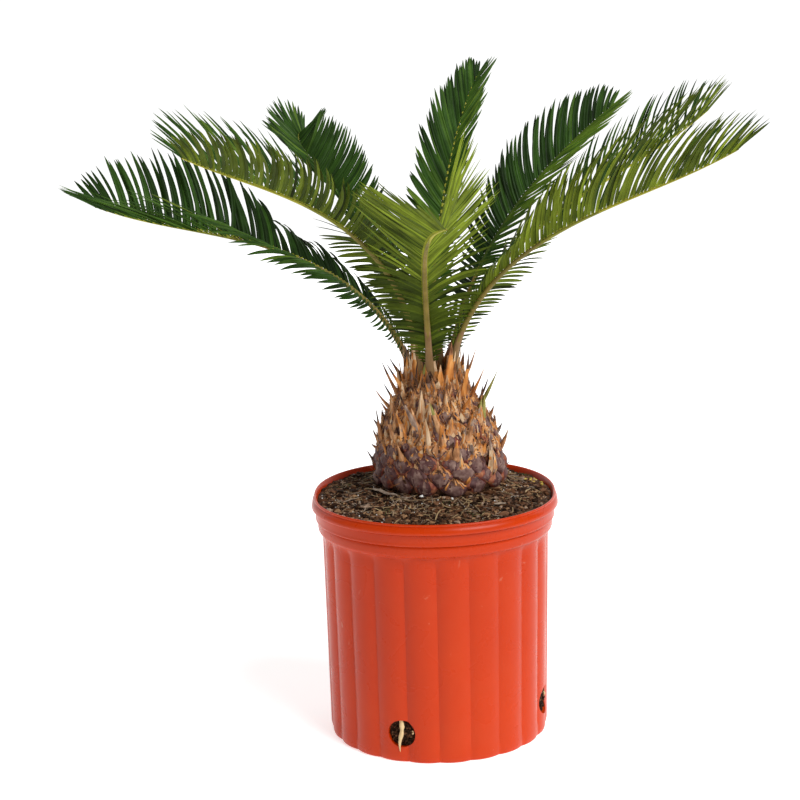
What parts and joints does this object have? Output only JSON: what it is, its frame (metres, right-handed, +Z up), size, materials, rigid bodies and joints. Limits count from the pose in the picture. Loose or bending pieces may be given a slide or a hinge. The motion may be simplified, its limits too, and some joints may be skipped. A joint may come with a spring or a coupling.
{
  "type": "potted palm",
  "caption": "Young sago palm with arching feather-like fronds, a scaly bulb of a trunk and potting mix in a fluted terracotta-coloured plastic nursery pot",
  "frame": {"origin": "centre of the pot's flat underside", "axes": "+Z up along the pot, -Y toward the viewer of the picture, +X to the viewer's right"},
  "size_m": [0.714, 0.7367, 0.6893],
  "materials": {
    "terracotta_plastic": "semi-gloss moulded plastic",
    "potting_mix": "loose moist mix of bark and peat",
    "bark": "fibrous scales of old leaf bases",
    "leaf": "leathery, slightly glossy green"
  },
  "bodies": {
    "root": {"pot": "terracotta_plastic", "soil": "potting_mix", "trunk": "bark", "frond_left": "leaf", "frond_front_left": "leaf", "frond_back_left": "leaf", "frond_back": "leaf", "frond_front": "leaf", "frond_front_right": "leaf", "frond_right": "leaf", "frond_back_right": "leaf", "frond_rear": "leaf"}
  },
  "joints": []
}
